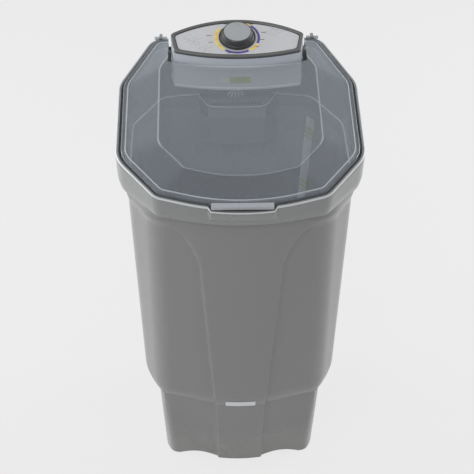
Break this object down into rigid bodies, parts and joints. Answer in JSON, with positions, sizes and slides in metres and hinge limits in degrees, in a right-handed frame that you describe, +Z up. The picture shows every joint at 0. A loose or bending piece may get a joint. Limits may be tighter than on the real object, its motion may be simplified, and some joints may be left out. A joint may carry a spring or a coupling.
{
  "type": "semi-automatic washing machine",
  "caption": "Upright single-tub washing machine with a clear sloping hinged lid, a lens-shaped rear console with a timer knob, a grey moulded cabinet and a separate base.",
  "frame": {"origin": "on the floor, under the agitator's axis", "axes": "+Z up, the front faces -Y, +X to the right seen from the front"},
  "size_m": [0.55, 0.592, 0.9922],
  "materials": {
    "body_grey": "satin",
    "rim_grey": "satin",
    "lid_clear": "clear gloss",
    "handle_grey": "satin",
    "seal_black": "matt",
    "zinc": "satin",
    "console_grey": "gloss",
    "frame_olive": "gloss",
    "panel_silver": "satin",
    "knob_dark": "gloss",
    "knob_silver": "satin",
    "timer_cream": "matt",
    "inlet_white": "matt",
    "hose_grey": "matt",
    "spray_light": "satin",
    "pocket_grey": "satin",
    "filter_dark": "satin",
    "strip_pale": "gloss",
    "sticker_pale": "gloss",
    "badge_silver": "satin",
    "agitator_white": "satin",
    "cap_blue": "satin",
    "housing_alloy": "cast",
    "bearing_steel": "polished",
    "shaft_steel": "ground",
    "rubber_black": "matt",
    "pulley_dark": "satin",
    "pulley_alloy": "cast",
    "motor_alloy": "cast",
    "winding_copper": "varnished",
    "rotor_iron": "ground",
    "fan_dark": "matt",
    "plate_zinc": "satin",
    "capacitor_pale": "matt",
    "pipe_dark": "matt"
  },
  "bodies": {
    "frame": {"cabinet": "body_grey", "base": "body_grey", "tub": "rim_grey", "rim_seal": "seal_black", "hinge_brackets": "handle_grey", "console_housing": "console_grey", "console_frame": "frame_olive", "panel_plate": "panel_silver", "timer": "timer_cream", "timer_screws": "zinc", "water_inlet": "inlet_white", "inlet_hose": "hose_grey", "water_spray": "spray_light", "console_screws": "zinc", "filter_pocket": "pocket_grey", "pocket_screws": "zinc", "level_strip": "strip_pale", "console_sticker": "sticker_pale", "badge_plate": "badge_silver", "bearing_housing": "housing_alloy", "bearings": "bearing_steel", "shaft_seal": "rubber_black", "housing_screws": "zinc", "drive_belt": "rubber_black", "motor_case": "motor_alloy", "stator": "winding_copper", "motor_plate": "plate_zinc", "motor_screws": "zinc", "plate_screws": "zinc", "capacitor": "capacitor_pale", "capacitor_clip": "plate_zinc", "drain_strainer": "zinc", "drain_pipe": "pipe_dark", "cord_gland": "rubber_black", "rubber_feet": "rubber_black", "base_screws": "zinc"},
    "lid_body": {"lid": "lid_clear", "lid_handle": "handle_grey", "hinge_pins": "zinc"},
    "knob": {"timer_knob": "knob_dark", "knob_cap": "knob_silver", "timer_spindle": "zinc"},
    "agitator_body": {"agitator": "agitator_white", "agitator_screw": "zinc", "agitator_cap": "cap_blue", "drive_shaft": "shaft_steel", "drive_pulley": "pulley_dark"},
    "rotor": {"motor_rotor": "rotor_iron", "motor_fan": "fan_dark", "motor_pulley": "pulley_alloy"},
    "filter": {"lint_filter": "filter_dark"}
  },
  "joints": [
    {"name": "lid_hinge", "type": "hinge", "parent": "frame", "child": "lid_body", "pos_m": [0, 0.276, 0.93185], "axis": [-1, 0, 0], "range_deg": [0, 95]},
    {"name": "knob_turn", "type": "hinge", "parent": "frame", "child": "knob", "pos_m": [0, 0.21441, 0.96047], "axis": [0, 0.2756, -0.9613], "range_deg": [0, 300]},
    {"name": "agitator_spin", "type": "hinge", "parent": "frame", "child": "agitator_body", "pos_m": [0, 0, 0.3], "axis": [0, 0, 1], "continuous": true},
    {"name": "motor_spin", "type": "hinge", "parent": "frame", "child": "rotor", "pos_m": [0, 0.13, 0.2], "axis": [0, 0, 1], "continuous": true},
    {"name": "filter_lift", "type": "slide", "parent": "frame", "child": "filter", "axis": [0, 0, 1], "range_m": [0, 0.058]}
  ],
  "couplings": [
    {"joint": "motor_spin", "follows": "agitator_spin", "ratio": 4.0886}
  ]
}
